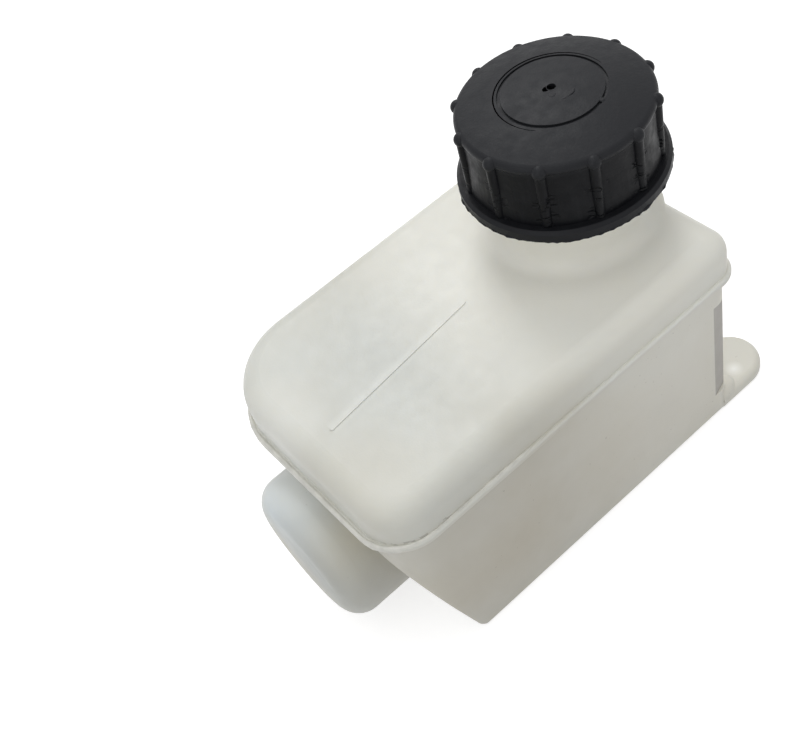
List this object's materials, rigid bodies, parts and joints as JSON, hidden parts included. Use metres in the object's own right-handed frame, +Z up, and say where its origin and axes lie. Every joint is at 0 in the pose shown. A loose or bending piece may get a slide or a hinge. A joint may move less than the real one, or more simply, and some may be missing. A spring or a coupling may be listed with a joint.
{
  "type": "brake fluid reservoir",
  "caption": "Translucent welded brake fluid reservoir with a round end boss, a mounting ear and a black ribbed screw cap.",
  "frame": {"origin": "middle of the footprint, on the base", "axes": "+X along the tank from the round boss to the neck end, +Y to the rear, +Z up along the neck"},
  "size_m": [0.1352, 0.072, 0.1064],
  "materials": {
    "tank_plastic": "milky translucent, satin",
    "strainer_plastic": "satin",
    "gasket_rubber": "matt",
    "baffle_plastic": "satin",
    "cap_plastic": "moulded, slightly glossy black"
  },
  "bodies": {
    "tank": {"lower_shell": "tank_plastic", "upper_shell": "tank_plastic", "strainer": "strainer_plastic"},
    "cap_seal": {"cap_gasket": "gasket_rubber", "vent_baffle": "baffle_plastic"},
    "cap": {"cap_shell": "cap_plastic"}
  },
  "joints": [
    {"name": "cap_rise", "type": "slide", "parent": "tank", "child": "cap_seal", "axis": [0, 0, 1], "range_m": [0, 0.008]},
    {"name": "cap_turn", "type": "hinge", "parent": "cap_seal", "child": "cap", "pos_m": [0.03245, 0, 0.0831], "axis": [0, 0, 1], "range_deg": [0, 720]}
  ],
  "couplings": [
    {"joint": "cap_rise", "follows": "cap_turn", "m_per_rad": 0.00063662}
  ]
}
